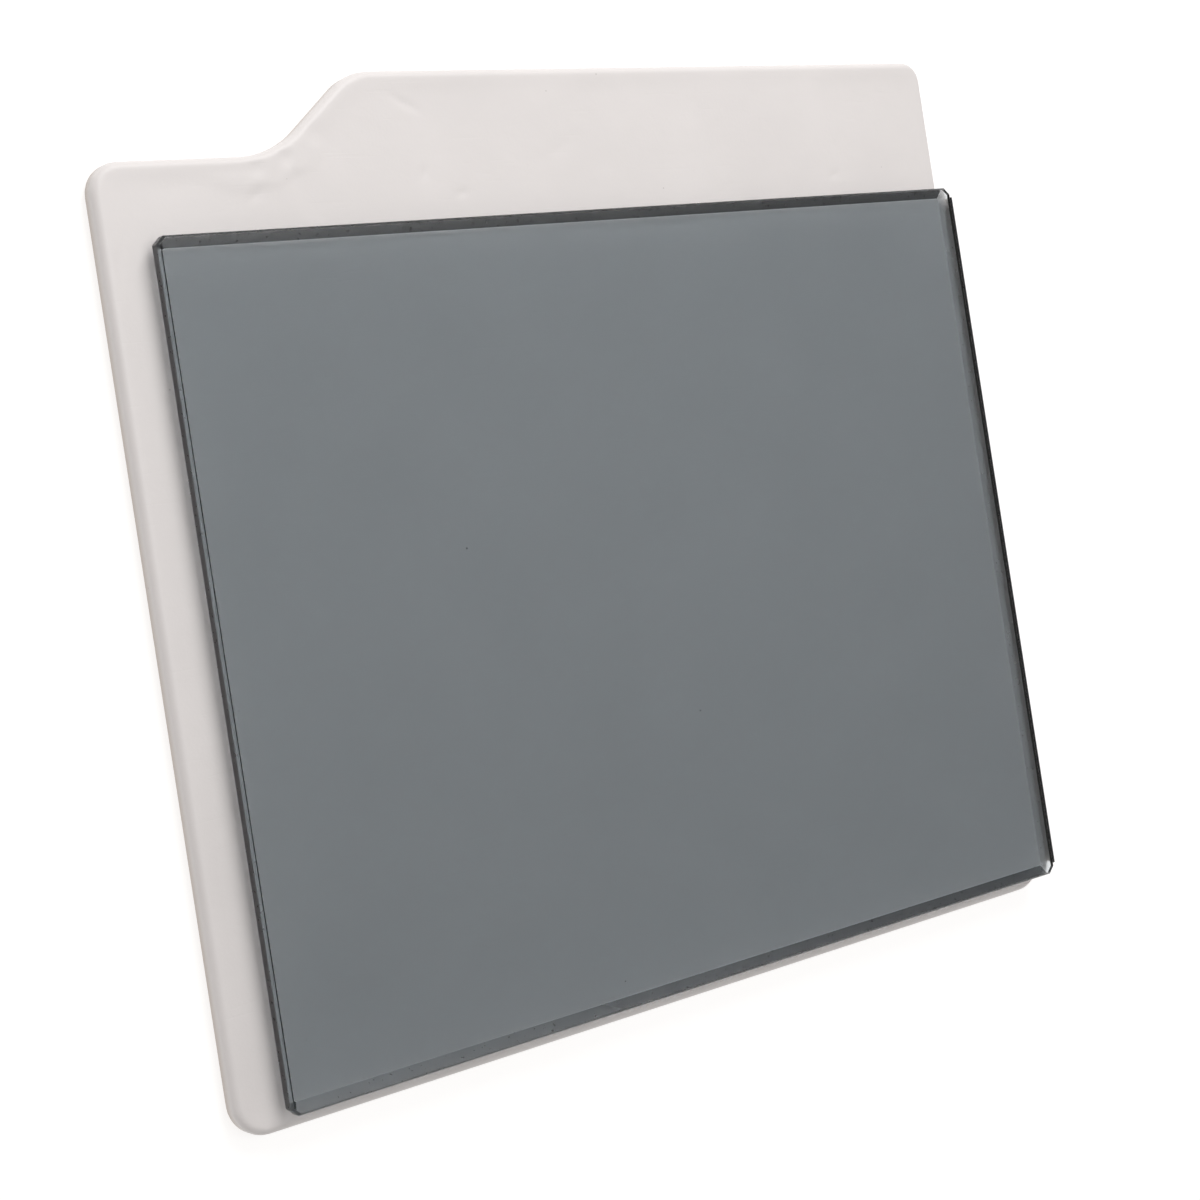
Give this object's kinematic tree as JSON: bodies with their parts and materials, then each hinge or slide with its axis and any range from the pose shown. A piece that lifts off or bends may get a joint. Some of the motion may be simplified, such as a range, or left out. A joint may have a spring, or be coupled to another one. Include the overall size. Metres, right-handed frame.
{
  "type": "negative carrier",
  "caption": "White covered plate with a finger tab and an opal window, and a hinged grey bevelled glass that holds sheet film flat on it.",
  "frame": {"origin": "centre of the outline's bounding box, on the back face", "axes": "+X to the right, towards the hinge; +Y towards the finger tab; +Z out of the glass, away from the back"},
  "size_m": [0.142, 0.1312, 0.0065],
  "materials": {
    "white_cover": "satin padded vinyl",
    "white_liner": "matte lining card",
    "core_metal": "rolled sheet",
    "opal_glass": "white flashed opal",
    "black_metal": "matte black lacquer",
    "screw_steel": "bright turned",
    "white_strip": "white bookbinding cloth",
    "black_strip": "bookbinding cloth inked black",
    "black_adhesive": "matte black tape",
    "grey_glass": "polished neutral grey glass"
  },
  "bodies": {
    "base_leaf": {"front_cover": "white_cover", "core_plate": "core_metal", "opal_pane": "opal_glass", "mask_frame": "black_metal", "mask_screws": "screw_steel", "back_cover": "white_liner", "hinge_strip_base": "white_strip"},
    "glass_leaf": {"cover_glass": "grey_glass", "hinge_adhesive": "black_adhesive", "hinge_strip_glass": "black_strip"}
  },
  "joints": [
    {"name": "glass_hinge", "type": "hinge", "parent": "base_leaf", "child": "glass_leaf", "pos_m": [0.071, 0, 0.00345], "axis": [0, 1, 0], "range_deg": [0, 175]}
  ]
}
